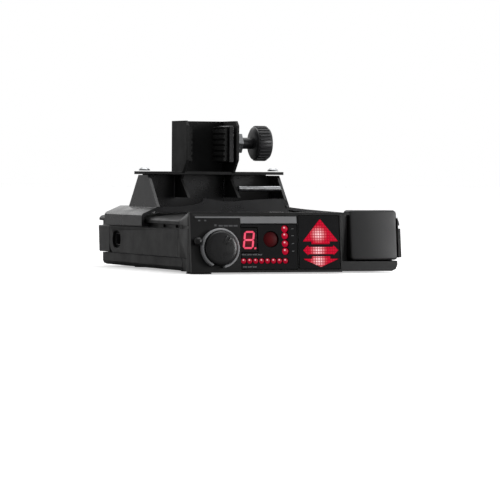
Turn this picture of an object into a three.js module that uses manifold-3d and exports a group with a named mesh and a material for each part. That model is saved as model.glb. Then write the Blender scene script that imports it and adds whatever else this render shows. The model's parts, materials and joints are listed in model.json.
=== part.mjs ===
// Radar detector held in a sheet-metal mirror bracket.
// Millimetres, +X to the driver's right, +Y towards the windshield, +Z up.
// The origin is at the middle of the whole object's footprint, on the surface it stands on.
import * as THREE from 'three';
import { mergeVertices } from 'three/addons/utils/BufferGeometryUtils.js';
import Module from 'manifold-3d';

const wasm = await Module();
wasm.setup();

// ---------------------------------------------------------------- driving dimensions
const WIDTH = 92.5;              // across the rear frame
const BODY_DEPTH = 117.3;         // foot of the display face to the windshield end
const FACE_Y = -56.85;           // where the foot of the display face lies
const FEET = 0.6;                // the feet lift the case by this
const LEAN = THREE.MathUtils.degToRad(6.2);   // the display face leans back by this
const GAP = 0.3;                 // air between neighbouring pieces

const HALF = WIDTH / 2;
const CASE_HALF = 45.45;         // side face of the upper case
const LOWER_HALF = 43.7;         // the lower case is set back from it
const SPLIT_Z = 5.5;             // underside of the upper case
const FLOOR_Z = 0.1;             // underside of the lower case
const PAD_Z = -0.3;              // underside of the round pads about the case screws
const FRAME_END = 18;            // the flared rear frame ends here
const FLARE_END = 5.6;           // and is a full rectangle from here to the face
const SEAM_Y = 102.5;            // the windshield-end cover starts here
const LOWER_END = 116.3;         // the lower case ends just before the cover does

const GROOVE_LOW = 16.5;         // the bracket's lips run in this groove
const GROOVE_HIGH = 18.5;
const GROOVE_DEPTH = 2.0;
const CROWN_Z = 22.4;            // top of the case
const BRIDGE_SCREW_Y = 73.75;
const FACE_TOP = 23.5;           // top of the display bezel

const BEZEL_WIDTH = 63.2;        // the display takes the left two thirds of the rear end
const BEZEL_THICK = 2.0;
const RADOME_LEFT = 24.65;       // rear antenna cover, from the centre line
const RADOME_RIGHT = 44.65;
const RADOME_LOW = 4.4;
const RADOME_TOP = 24.2;
const RADOME_FACE = 8;           // it is set back from the display by this

const KNOB = { x: 11.6, z: 9.4, radius: 6.6, front: -4.0, back: -1.1 };
const RING = { outer: 7.8, inner: 6.9, front: -2.4, back: -0.3 };
const LEVER = { x: 2.4, z: 12.1, radius: 1.6 };

const SHEET = 1.2;               // the bracket's steel
const CLIP = { start: 57, end: 104 };
const GUSSET = { left: -40.2, right: 16.3, start: 56.3, end: 91.2, foot: 24.9, slope: 0.913 };
const BRIDGE_Z = 38;
const NECK_Y = 78.2;             // windshield side of the wall between the gussets
const CHANNEL = { left: -26.2, right: -3.2, web: 80, low: 28.6, top: 60 };
const SCREW_AXIS = { y: 71, z: 51 };

// ---------------------------------------------------------------- materials
const finish = (color, roughness, metalness) =>
  new THREE.MeshStandardMaterial({ color, roughness, metalness });
const looks = {
  casting: finish(0x2c2d2f, 0.55, 0.1),
  bezel: finish(0x1b1c1e, 0.35, 0.0),
  window: finish(0x121214, 0.15, 0.0),
  lens: finish(0xd01236, 0.25, 0.0),
  redGlass: finish(0x5a1418, 0.3, 0.0),
  plate: finish(0x9a9b9d, 0.45, 0.2),
  knob: finish(0x202124, 0.45, 0.0),
  cover: finish(0x333436, 0.6, 0.0),
  inside: finish(0x2f4a38, 0.7, 0.0),
  steel: finish(0x9b9d9f, 0.35, 0.9),
  coated: finish(0x232426, 0.5, 0.3),
  rubber: finish(0x161616, 0.9, 0.0),
  contact: finish(0x17181a, 0.5, 0.0),
};

// ---------------------------------------------------------------- geometry helpers
// A closed geometry as a manifold solid.
function solid(geometry) {
  const bare = geometry.clone();
  bare.deleteAttribute('normal');
  bare.deleteAttribute('uv');
  const merged = mergeVertices(bare, 1e-4);
  const mesh = new wasm.Mesh({
    numProp: 3,
    vertProperties: new Float32Array(merged.attributes.position.array),
    triVerts: new Uint32Array(merged.index.array),
  });
  mesh.merge();
  return new wasm.Manifold(mesh);
}

// A manifold solid back as a geometry.
function geometryOf(body) {
  const mesh = body.getMesh();
  const geometry = new THREE.BufferGeometry();
  geometry.setAttribute('position', new THREE.BufferAttribute(mesh.vertProperties, 3));
  geometry.setIndex(new THREE.BufferAttribute(mesh.triVerts, 1));
  geometry.computeVertexNormals();
  return geometry;
}

const join = (...shapes) => shapes.slice(1).reduce((all, next) => all.add(next), shapes[0]);
const cut = (body, ...tools) => tools.reduce((rest, tool) => rest.subtract(tool), body);

const polygon = (points) => new THREE.Shape(points.map(([u, v]) => new THREE.Vector2(u, v)));

// An outline drawn in X and Z, run along Y.
function alongY(shape, y0, y1, curveSegments = 6) {
  const options = { depth: y1 - y0, bevelEnabled: false, curveSegments };
  const geometry = new THREE.ExtrudeGeometry(shape, options);
  geometry.rotateX(Math.PI / 2);
  geometry.translate(0, y1, 0);
  return solid(geometry);
}

// An outline drawn in Y and Z, run along X.
function alongX(shape, x0, x1, curveSegments = 6) {
  const options = { depth: x1 - x0, bevelEnabled: false, curveSegments };
  const geometry = new THREE.ExtrudeGeometry(shape, options);
  geometry.rotateX(Math.PI / 2);
  geometry.rotateZ(Math.PI / 2);
  geometry.translate(x0, 0, 0);
  return solid(geometry);
}

function block(x0, x1, y0, y1, z0, z1) {
  const geometry = new THREE.BoxGeometry(x1 - x0, y1 - y0, z1 - z0);
  geometry.translate((x0 + x1) / 2, (y0 + y1) / 2, (z0 + z1) / 2);
  return solid(geometry);
}

// A round bar along an axis, from one end to the other.
function bar(axis, from, to, radius, sides = 24) {
  const length = to - from;
  const geometry = new THREE.CylinderGeometry(radius, radius, length, sides);
  if (axis === 'x') geometry.rotateZ(Math.PI / 2);
  if (axis === 'z') geometry.rotateX(Math.PI / 2);
  const middle = (from + to) / 2;
  geometry.translate(axis === 'x' ? middle : 0, axis === 'y' ? middle : 0, axis === 'z' ? middle : 0);
  return solid(geometry);
}

// A turned piece: radius and depth pairs, turned about the Y axis.
function turned(profile, sides = 32) {
  return solid(new THREE.LatheGeometry(profile.map(([r, y]) => new THREE.Vector2(r, y)), sides));
}

// A turned piece about the Z axis: radius and height pairs.
function turnedUp(profile, sides) {
  const geometry = new THREE.LatheGeometry(profile.map(([r, z]) => new THREE.Vector2(r, z)), sides);
  geometry.rotateX(Math.PI / 2);
  return solid(geometry);
}

function roundedRect(x0, x1, z0, z1, radius) {
  const shape = new THREE.Shape();
  shape.moveTo(x0 + radius, z0);
  shape.lineTo(x1 - radius, z0);
  shape.absarc(x1 - radius, z0 + radius, radius, -Math.PI / 2, 0);
  shape.lineTo(x1, z1 - radius);
  shape.absarc(x1 - radius, z1 - radius, radius, 0, Math.PI / 2);
  shape.lineTo(x0 + radius, z1);
  shape.absarc(x0 + radius, z1 - radius, radius, Math.PI / 2, Math.PI);
  shape.lineTo(x0, z0 + radius);
  shape.absarc(x0 + radius, z0 + radius, radius, Math.PI, Math.PI * 1.5);
  return shape;
}

// A skin through a row of outlines that all have the same number of points.
// Each outline is {points: [[x, z], ...], depth: (z) => y}, counter-clockwise seen from the driver.
function loft(outlines) {
  const count = outlines[0].points.length;
  const positions = [];
  for (const { points, depth } of outlines) {
    for (const [x, z] of points) positions.push(x, depth(z), z);
  }
  const index = [];
  for (let row = 0; row < outlines.length - 1; row += 1) {
    for (let i = 0; i < count; i += 1) {
      const a = row * count + i;
      const b = row * count + ((i + 1) % count);
      index.push(a, b + count, b, a, a + count, b + count);
    }
  }
  const cap = (row, flip) => {
    const outline = outlines[row].points.map(([x, z]) => new THREE.Vector2(x, z));
    for (const [a, b, c] of THREE.ShapeUtils.triangulateShape(outline, [])) {
      const base = row * count;
      if (flip) index.push(base + a, base + c, base + b);
      else index.push(base + a, base + b, base + c);
    }
  };
  cap(0, false);
  cap(outlines.length - 1, true);
  const geometry = new THREE.BufferGeometry();
  geometry.setAttribute('position', new THREE.Float32BufferAttribute(positions, 3));
  geometry.setIndex(index);
  return solid(geometry);
}

// ---------------------------------------------------------------- assembly helpers
const detector = new THREE.Group();
detector.position.set(0, FACE_Y, FEET);

// Pieces on the display face are drawn from its lower left corner: x to the right, z up the face,
// y into the case.
const face = new THREE.Group();
face.position.set(-HALF, 0, 0);
face.rotation.x = -LEAN;
detector.add(face);
face.updateMatrix();

function add(name, body, material, parent = detector) {
  const mesh = new THREE.Mesh(geometryOf(body), material);
  mesh.name = name;
  parent.add(mesh);
}

// A tool drawn on the face, moved to the case's own frame.
const onFace = (body) => body.transform(face.matrix.elements.slice());

// A slab whose front and back lean like the display face and whose top and foot are level.
function leaningSlab(x0, x1, y0, y1, z0, z1) {
  const shift = Math.tan(LEAN);
  const outline = [[y0 + z0 * shift, z0], [y1 + z0 * shift, z0],
    [y1 + z1 * shift, z1], [y0 + z1 * shift, z1]];
  return alongX(polygon(outline), x0, x1);
}

// ---------------------------------------------------------------- case outlines
const mix = (a, b, t) => a + (b - a) * t;

// Half of the outline across the case, from its foot to the middle of its top. t is 0 on the plain
// case and 1 where the rear frame has flared out; the left side then runs straight to the ground
// and up to a square corner, and the right side keeps its step and a sloping shoulder.
function halfOutline(side, t) {
  const left = side < 0;
  const lowerX = mix(LOWER_HALF, left ? HALF : HALF - 1.9, t);
  const sideX = mix(CASE_HALF, HALF, t);
  const grooveX = sideX - mix(GROOVE_DEPTH, 0.6, t);
  const footZ = mix(FLOOR_Z, 0, t);
  const round = mix(1.6, left ? 0.3 : 2.6, t);
  return [
    [lowerX - round, footZ],
    [lowerX - round * 0.3, footZ + round * 0.3],
    [lowerX, footZ + round],
    [lowerX, SPLIT_Z - GAP],
    [sideX, SPLIT_Z],
    [sideX, mix(GROOVE_LOW, 17.0, t)],
    [grooveX, mix(GROOVE_LOW, 17.0, t)],
    [grooveX, mix(GROOVE_HIGH, 18.0, t)],
    [mix(CASE_HALF - 0.3, left ? HALF : HALF - 0.3, t), mix(GROOVE_HIGH, 18.0, t)],
    [mix(CASE_HALF - 0.3, left ? HALF : HALF - 0.55, t), mix(19.6, left ? 21.5 : 19.6, t)],
    [mix(CASE_HALF - 1.1, left ? HALF - 0.3 : HALF - 1.25, t), mix(20.4, left ? FACE_TOP - 0.3 : 22.2, t)],
    [mix(CASE_HALF - 3, left ? HALF - 0.8 : HALF - 2, t), mix(20.9, FACE_TOP, t)],
    [CASE_HALF - 9, mix(21.5, FACE_TOP, t)],
    [CASE_HALF - 16, mix(22.0, FACE_TOP, t)],
    [CASE_HALF - 26, mix(CROWN_Z, FACE_TOP, t)],
  ];
}

// The whole outline, counter-clockwise seen from the driver.
function outline(tLeft, tRight, fromZ = -1) {
  const right = halfOutline(1, tRight).filter(([, z]) => z > fromZ);
  const left = halfOutline(-1, tLeft).filter(([, z]) => z > fromZ).map(([x, z]) => [-x, z]);
  return [...right, ...left.reverse()];
}

const upperOutline = polygon(outline(0, 0, SPLIT_Z - 0.1));

// The section of the hollow inside the case: straight walls under a low roof.
const ROOF_Z = 21.4;
const cavity = (half, low) => polygon([[-half, low], [half, low], [half, 17.5], [half - 8.3, ROOF_Z],
  [-half + 8.3, ROOF_Z], [-half, 17.5]]);

// Side view of the upper case, with the far lower corner that the windshield-end cover wraps round.
function sideView(end, low, radius) {
  const shape = new THREE.Shape();
  shape.moveTo(FRAME_END + GAP, low);
  shape.lineTo(end - radius, low);
  shape.absarc(end - radius, low + radius, radius, -Math.PI / 2, 0);
  shape.lineTo(end, 40);
  shape.lineTo(FRAME_END + GAP, 40);
  return shape;
}

// ---------------------------------------------------------------- case
const JACK = { y: 93.3, z: 11.0 };
const POCKET_DEPTH = 1.2;

// A rounded hole through a side face about the jacks' place, from one x to the other.
function sideHole(x0, x1, halfY, halfZ, radius) {
  const shape = roundedRect(JACK.y - halfY, JACK.y + halfY, JACK.z - halfZ, JACK.z + halfZ, radius);
  return alongX(shape, x0, x1, 8);
}

function upperCase() {
  const shell = alongY(upperOutline, FRAME_END + GAP, SEAM_Y - GAP);
  const hollow = alongY(cavity(42.2, 4), 0, SEAM_Y + 10);
  const ends = alongX(sideView(SEAM_Y - GAP, SPLIT_Z - 0.1, 5), -HALF - 2, HALF + 2);
  const powerPocket = sideHole(-CASE_HALF - 1, -CASE_HALF + POCKET_DEPTH, 5.2, 3.6, 3.5);
  const powerHole = sideHole(-CASE_HALF - 1, -41, 4.4, 2.9, 1.8);
  const earHole = bar('x', 41, CASE_HALF + 1, 3.2).translate([0, JACK.y, JACK.z]);
  const vents = [[21.5, 26.5], [31.5, 41]].flatMap(([from, to]) => [-1, 1].map((side) => {
    const x = side * (CASE_HALF - GROOVE_DEPTH);
    return block(Math.min(x, x - side * 0.6) - 0.1, Math.max(x, x - side * 0.6) + 0.1, from, to, 16.9, 18.1);
  }));
  return cut(shell.subtract(hollow).intersect(ends), powerPocket, powerHole, earHole, ...vents);
}

const CASE_SCREWS = [[-37, 27], [37, 27], [-37, 83], [37, 83]];
const SPEAKER = { x: -16, y: 52, radius: 12.5 };

function lowerCase() {
  const foot = [[-LOWER_HALF + 1.6, FLOOR_Z], [LOWER_HALF - 1.6, FLOOR_Z], [LOWER_HALF - 0.5, FLOOR_Z + 0.5],
    [LOWER_HALF, FLOOR_Z + 1.6], [LOWER_HALF, SPLIT_Z - GAP], [-LOWER_HALF, SPLIT_Z - GAP],
    [-LOWER_HALF, FLOOR_Z + 1.6], [-LOWER_HALF + 0.5, FLOOR_Z + 0.5]];
  const tray = alongY(polygon(foot), FRAME_END + GAP, LOWER_END);
  const hollow = block(-41.8, 41.8, 0, LOWER_END - 1.8, 2.4, 10);
  let body = tray.subtract(hollow);
  const corner = polygon([[LOWER_END - 1.4, -1], [LOWER_END + 1, -1], [LOWER_END + 1, 2.0]]);
  const farBevel = alongX(corner, -50, 50);
  body = body.subtract(farBevel);
  for (const [x, y] of CASE_SCREWS) {
    body = body.add(bar('z', PAD_Z, FLOOR_Z + 1, 3.8).translate([x, y, 0]));
    body = body.add(bar('z', 2, SPLIT_Z - GAP, 3.0, 16).translate([x, y, 0]));
    body = body.subtract(bar('z', -1, 2.3, 2.7, 16).translate([x, y, 0]));
    body = body.subtract(bar('z', -1, SPLIT_Z + 1, 1.6, 12).translate([x, y, 0]));
  }
  for (let row = -3; row <= 3; row += 1) {
    const reach = Math.sqrt(10 ** 2 - (row * 3) ** 2);
    const y = SPEAKER.y + row * 3;
    body = body.subtract(block(SPEAKER.x - reach, SPEAKER.x + reach, y - 0.7, y + 0.7, -1, 4));
  }
  return body;
}

function caseScrew([x, y]) {
  const head = bar('z', 0.9, 2.0, 2.4, 16);
  const shank = bar('z', 1.9, 8.4, 1.3, 12);
  const cross = join(block(-1.6, 1.6, -0.35, 0.35, 0.6, 1.5), block(-0.35, 0.35, -1.6, 1.6, 0.6, 1.5));
  return cut(head.add(shank), cross).translate([x, y, 0]);
}

function rearFrame() {
  const frontDepth = (z) => BEZEL_THICK + GAP + z * Math.tan(LEAN);
  const at = (y, depth = () => y) => {
    const tLeft = Math.min(1, (FRAME_END - y) / (FRAME_END - FLARE_END));
    const tRight = Math.min(1, (FRAME_END - y) / (FRAME_END - RADOME_FACE));
    return { points: outline(tLeft, tRight), depth };
  };
  const skin = loft([at(BEZEL_THICK, frontDepth), at(FLARE_END), at(RADOME_FACE), at(13), at(FRAME_END)]);
  const bezelRight = BEZEL_WIDTH - HALF;
  const divider = leaningSlab(bezelRight - 1.5, bezelRight, BEZEL_THICK + GAP, 15, 0.5, 22.5);
  const lip = leaningSlab(bezelRight, HALF - 4, RADOME_FACE, RADOME_FACE + 4, 0.3, 3.9);
  const backWall = block(bezelRight - 1, RADOME_LEFT - GAP - 0.01, 13, 14.5, 1.5, 22.3);
  const beside = leaningSlab(bezelRight, HALF + 1, -5, RADOME_FACE, -2, 30);
  const pocket = block(RADOME_LEFT - GAP, RADOME_RIGHT + GAP, -5, 13, RADOME_LOW - GAP, 40);
  const throat = block(RADOME_LEFT - GAP, 42.6, 12, FRAME_END + 1, RADOME_LOW - GAP, 40);
  const recess = block(bezelRight, RADOME_LEFT, -5, 13, RADOME_LOW - 0.5, 22.3);
  const shell = skin.subtract(alongY(cavity(41.5, 2.2), -5, FRAME_END + 5));
  const frame = join(shell, lip, backWall).subtract(beside);
  return join(cut(frame, pocket, throat, recess), divider);
}

// ---------------------------------------------------------------- display face
const DISPLAY = { x0: 21.0, x1: 44.4, z0: 1.3, z1: 18.8 };
const ARROWS = { x0: 45.2, x1: 62.4, z0: 1.3, z1: 22.4 };
const DIGIT = { x: 24.2, z: 12.75, width: 7.0, height: 9.4 };
const PHOTOCELL = { x: 33.45, z: 13.0, radius: 2.95 };
const BAND_X = 39.5;
const BAND_Z = [17.1, 14.4, 11.3, 8.3];
const BAND_RADIUS = 1.35;
const LIGHT_BACK = 3.8;          // the lights reach back to their board
const STRENGTH = { from: 21.9, pitch: 2.5, count: 8, z: 4.55, radius: 1.05 };

const inPlane = (shape, y0, y1) => alongY(shape, y0, y1, 8);

function trimOutline(grow = 0) {
  return polygon([[2.0 - grow, 21.3 - grow], [20.8 - grow, 21.3 - grow], [20.8 - grow, 19.2 - grow],
    [44.5 + grow, 19.2 - grow], [44.5 + grow, 22.0 + grow], [2.0 - grow, 22.0 + grow]]);
}

function displayBezel() {
  const slab = leaningSlab(-HALF, BEZEL_WIDTH - HALF, 0, BEZEL_THICK, 0, FACE_TOP);
  const windowHoles = [DISPLAY, ARROWS].map(({ x0, x1, z0, z1 }) =>
    onFace(inPlane(roundedRect(x0 - GAP, x1 + GAP, z0 - GAP, z1 + GAP - 0.15, 0.5), -3, 5)));
  const trim = onFace(inPlane(trimOutline(0.15), -3, 0.8));
  const shaft = onFace(bar('y', -3, 5, 2.6).translate([KNOB.x, 0, KNOB.z]));
  return cut(slab, ...windowHoles, trim, shaft);
}

// A light's lens: a low dome on a round post.
function led(radius, y0, y1) {
  const shoulder = y0 + 0.5;
  return turned([[0, y0], [radius * 0.6, y0 + 0.12], [radius, shoulder], [radius, y1], [0, y1]], 20);
}

function digitBlock(grow, y0, y1) {
  const half = { x: DIGIT.width / 2 + grow, z: DIGIT.height / 2 + grow };
  return block(DIGIT.x - half.x, DIGIT.x + half.x, y0, y1, DIGIT.z - half.z, DIGIT.z + half.z);
}

const photocell = () => led(PHOTOCELL.radius, 0.1, LIGHT_BACK).translate([PHOTOCELL.x, 0, PHOTOCELL.z]);

function displayWindow() {
  const pane = inPlane(roundedRect(DISPLAY.x0, DISPLAY.x1, DISPLAY.z0, DISPLAY.z1, 0.3), 0.05, 1.7);
  const digitHole = digitBlock(GAP, -2, 4);
  const eye = bar('y', -2, 4, PHOTOCELL.radius + GAP).translate([PHOTOCELL.x, 0, PHOTOCELL.z]);
  const bands = BAND_Z.map((z) => bar('y', -2, 4, BAND_RADIUS + 0.2).translate([BAND_X, 0, z]));
  const strengths = strengthPlaces().map((x) =>
    bar('y', -2, 4, STRENGTH.radius + 0.15, 20).translate([x, 0, STRENGTH.z]));
  return cut(pane, digitHole, eye, ...bands, ...strengths);
}

function strengthPlaces() {
  return Array.from({ length: STRENGTH.count }, (_, i) => STRENGTH.from + i * STRENGTH.pitch);
}

function strengthBar() {
  const last = STRENGTH.from + (STRENGTH.count - 1) * STRENGTH.pitch;
  const base = block(STRENGTH.from - 1.3, last + 1.3, 2.1, 3.8, STRENGTH.z - 1.4, STRENGTH.z + 1.4);
  return join(base, ...strengthPlaces().map((x) => led(STRENGTH.radius, 0, 3).translate([x, 0, STRENGTH.z])));
}

const ARROW_MID = 54.4;
const FRONT_ARROW = [[0, 20.8], [-7.3, 12.2], [-3.8, 12.2], [-3.8, 11.15],
  [3.8, 11.15], [3.8, 12.2], [7.3, 12.2]];
const SIDE_ARROW = [[-7.3, 8.6], [-5.4, 10.5], [-5.4, 9.9], [5.4, 9.9], [5.4, 10.5], [7.3, 8.6],
  [5.4, 6.8], [5.4, 7.2], [-5.4, 7.2], [-5.4, 6.8]];
const REAR_ARROW = [[0, 2.1], [7.3, 5.2], [3.8, 5.2], [3.8, 6.2], [-3.8, 6.2], [-3.8, 5.2], [-7.3, 5.2]];

const arrowShape = (points) => polygon(points.map(([x, z]) => [ARROW_MID + x, z]));
const arrowLens = (points) => inPlane(arrowShape(points), -0.25, 1.45);

// The hole for an arrow: its outline, moved a little every way, so that the lens drops in with air round it.
function arrowHole(points) {
  const air = 0.12;
  const hole = inPlane(arrowShape(points), -3, 5);
  const moves = [[-1, -1], [-1, 0], [-1, 1], [0, -1], [0, 1], [1, -1], [1, 0], [1, 1]];
  return join(hole, ...moves.map(([x, z]) => hole.translate([x * air, 0, z * air])));
}

function arrowWindow() {
  const pane = inPlane(roundedRect(ARROWS.x0, ARROWS.x1, ARROWS.z0, ARROWS.z1, 0.3), 0.05, 1.7);
  return cut(pane, arrowHole(FRONT_ARROW), arrowHole(SIDE_ARROW), arrowHole(REAR_ARROW));
}

// ---------------------------------------------------------------- knob and its control
const aboutKnob = (body) => body.translate([KNOB.x, 0, KNOB.z]);
const degrees = THREE.MathUtils.degToRad;

function controlKnob() {
  const r = KNOB.radius;
  const cap = turned([[0, KNOB.front + 0.5], [r * 0.55, KNOB.front + 0.35], [r - 0.9, KNOB.front],
    [r - 0.25, KNOB.front + 0.15], [r, KNOB.front + 0.6], [r, KNOB.back], [0, KNOB.back]], 48);
  const pointer = block(2.4, 5.6, KNOB.front - 1, KNOB.front + 0.8, -0.5, 0.5).rotate([0, -57, 0]);
  return aboutKnob(cap.subtract(pointer));
}

function leverRing() {
  const { outer, inner, front, back } = RING;
  const ring = turned([[inner, back], [inner, front + 0.2], [inner + 0.25, front], [outer - 0.3, front],
    [outer, front + 0.3], [outer, back], [inner, back]], 64);
  const from = degrees(243);
  const to = degrees(280);
  const reach = 12;
  const wedge = polygon([[0, 0], [reach * Math.cos(from), reach * Math.sin(from)],
    [reach * Math.cos((from + to) / 2), reach * Math.sin((from + to) / 2)],
    [reach * Math.cos(to), reach * Math.sin(to)]]);
  const dx = LEVER.x - KNOB.x;
  const dz = LEVER.z - KNOB.z;
  const length = Math.hypot(dx, dz);
  const turn = THREE.MathUtils.radToDeg(Math.atan2(dz, dx));
  const arm = block(inner + 0.3, length, -1.9, back, -0.7, 0.7).rotate([0, -turn, 0]);
  const ball = solid(new THREE.SphereGeometry(LEVER.radius, 20, 12)).translate([dx, -1.95, dz]);
  const tip = ball.subtract(block(-20, 20, back, 5, -20, 20));
  return aboutKnob(join(ring.subtract(inPlane(wedge, -5, 1)), arm, tip));
}

function volumeControl() {
  const can = block(-5.5, 5.5, BEZEL_THICK + 0.5, 11.5, -5.5, 5.5);
  return aboutKnob(can.subtract(bar('y', 0, 10.4, 2.5)));
}

// ---------------------------------------------------------------- antenna covers and horns
function rearRadome() {
  const shift = 0.12;            // its face leans back by this per millimetre of height
  const r = 1.4;
  const round = roundedRect(RADOME_LEFT, RADOME_RIGHT, RADOME_LOW, RADOME_TOP, r);
  const head = alongY(round, RADOME_FACE, 12.7);
  const tail = alongY(roundedRect(RADOME_LEFT, 42.3, RADOME_LOW, RADOME_TOP, r), 12.5, FRAME_END - GAP);
  const foot = RADOME_FACE + RADOME_LOW * shift;
  const brow = RADOME_FACE + RADOME_TOP * shift;
  const trim = polygon([[0, -5], [foot, -5], [foot, RADOME_LOW], [brow, RADOME_TOP],
    [brow + 2.5, 40], [0, 40]]);
  const hollow = block(RADOME_LEFT + 1.8, 40.5, 12.6, 30, RADOME_LOW + 1.8, RADOME_TOP - 1.8);
  return cut(join(head, tail), alongX(trim, 20, 50), hollow);
}

function frontRadome() {
  const shell = alongY(upperOutline, SEAM_Y - 6, BODY_DEPTH);
  const clear = alongX(sideView(SEAM_Y, SPLIT_Z - 5, 5 + GAP), -HALF - 2, HALF + 2);
  const hollow = alongY(cavity(41.8, 7), SEAM_Y - 10, BODY_DEPTH - 1.8);
  const below = block(-60, 60, 0, SEAM_Y, -5, SPLIT_Z + 1.2);
  const lens = block(-38.3, -13.7, BODY_DEPTH - 5, BODY_DEPTH + 5, 8.2, 15.3);
  const tilt = alongX(polygon([[BODY_DEPTH - 1.2, SPLIT_Z - 1], [BODY_DEPTH + 3, SPLIT_Z - 1],
    [BODY_DEPTH + 3, 30], [BODY_DEPTH, 18]]), -60, 60);
  return cut(shell, clear, hollow, below, lens, tilt);
}

function laserLens() {
  return alongY(roundedRect(-38, -14, 8.5, 15, 0.6), BODY_DEPTH - 3.4, BODY_DEPTH - 1.0);
}

// The small rubber foot under the display face's left corner.
function frontFoot() {
  return alongY(roundedRect(-HALF + 0.5, -HALF + 8.5, -FEET, -0.05, 0.2), 0.8, 8);
}

// A horn aerial: a waveguide block with a tapered mouth. It is drawn opening towards +Y.
function horn(width, height, length) {
  const bodyBlock = block(-width / 2, width / 2, 0, length, -height / 2, height / 2);
  const mouth = (x, z) => [[-x, -z], [x, -z], [x, z], [-x, z]];
  const taper = loft([
    { points: mouth(width * 0.22, height * 0.2), depth: () => length * 0.35 },
    { points: mouth(width * 0.45, height * 0.43), depth: () => length + 0.5 },
  ]);
  return bodyBlock.subtract(taper);
}

// ---------------------------------------------------------------- inside
function mainBoard() {
  const board = block(-38, 38, 22, 96, 6.4, 8.0);
  const corners = CASE_SCREWS.map(([x, y]) => block(x - 4, x + 4, y - 5, y + 5, 5, 9));
  return cut(board, ...corners);
}

function speaker() {
  const { x, y, radius } = SPEAKER;
  const profile = [[0, 3.4], [4, 3.1], [10.5, 2.8], [radius, 2.8], [radius, 5.0], [6, 6.0], [0, 6.0]];
  return turnedUp(profile, 32).translate([x, y, 0]);
}

function powerJack() {
  const nose = sideHole(-44.4, -38, 4.1, 2.6, 1.5);
  const shell = block(-41.4, -32, JACK.y - 5.2, JACK.y + 5.2, JACK.z - 2.9, JACK.z + 3.4);
  const socket = sideHole(-50, -34, 3.6, 2.15, 1.1);
  return cut(join(nose, shell), socket);
}

function earphoneJack() {
  const barrel = bar('x', 36, CASE_HALF, 2.8).translate([0, JACK.y, JACK.z]);
  return barrel.subtract(bar('x', 37, CASE_HALF + 2, 1.8, 20).translate([0, JACK.y, JACK.z]));
}

// ---------------------------------------------------------------- bracket
// Bracket parts share the case's own frame.
const CLIP_OUT = CASE_HALF + 0.5 + SHEET;        // outside of the clips

// The cradle's section: a lip in the groove, the clip, the slope, the flat top, and back down.
function cradleSection() {
  const out = CLIP_OUT;
  const inner = CLIP_OUT - SHEET;
  const lipTop = GROOVE_LOW + 0.4 + SHEET;
  const lipLow = GROOVE_LOW + 0.4;
  const foot = GUSSET.foot;
  const rightKnee = 24;
  return polygon([
    [-inner + 2.2, lipLow], [-inner + 2.2, lipTop], [-inner, lipTop], [-inner, 20.8], [-inner + 0.5, 21.3],
    [GUSSET.left + 0.4, foot - SHEET], [GUSSET.right, foot - SHEET], [rightKnee, foot - 0.9 - SHEET],
    [inner - 0.6, 21.3], [inner, 20.8],
    [inner, lipTop], [inner - 2.2, lipTop], [inner - 2.2, lipLow], [out - 0.4, lipLow], [out, lipLow + 0.4],
    [out, 21.4], [out - 0.7, 22.2], [rightKnee, foot - 0.9], [GUSSET.right, foot],
    [GUSSET.left, foot], [-out + 0.7, 22.2], [-out, 21.4], [-out, lipLow + 0.4], [-out + 0.4, lipLow],
  ]);
}

// An end gusset: a trapezoid that narrows upwards.
function gusset(x) {
  const { start, end, foot, slope } = GUSSET;
  const rise = (BRIDGE_Z - GAP - foot) * slope;
  const shape = polygon([[start, foot - 0.3], [end, foot - 0.3], [end, foot],
    [end - rise, BRIDGE_Z - GAP], [start + rise, BRIDGE_Z - GAP], [start, foot]]);
  return alongX(shape, x - SHEET / 2, x + SHEET / 2);
}

// The stiffening lip along the cradle's driver edge, with its sagging upper edge.
function frontLip() {
  const edgePoints = [[-41, 24.6], [-30, 25.0], [-22, 26.3], [-20.5, 28.2], [-17, 28.0],
    [-10, 27.0], [0, 27.7], [14.5, 28.2], [16.8, 25.4]];
  const top = new THREE.SplineCurve(edgePoints.map(([x, z]) => new THREE.Vector2(x, z)));
  const edge = top.getPoints(24).map(({ x, y }) => [x, y]);
  const lowEdge = [[-41, 22.6], [-34, 22.5], [-20, CROWN_Z + 0.4], [16.8, CROWN_Z + 0.4]];
  return alongY(polygon([...lowEdge, ...edge.reverse()]), CLIP.start, CLIP.start + SHEET);
}

// The back wall between the gussets.
function neckWall() {
  const { left, right, foot } = GUSSET;
  return block(left, right, NECK_Y - SHEET, NECK_Y, foot - 0.3, BRIDGE_Z - GAP);
}

// The cradle: one folded sheet with a window over the case, its gussets, back wall and front lip.
function cradle() {
  const sheet = alongY(cradleSection(), CLIP.start, CLIP.end);
  const window = block(-34, 10, CLIP.start + 6, NECK_Y - SHEET - 1.5, 20, 30);
  return join(sheet.subtract(window), gusset(GUSSET.left), gusset(GUSSET.right), neckWall(), frontLip());
}

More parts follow.
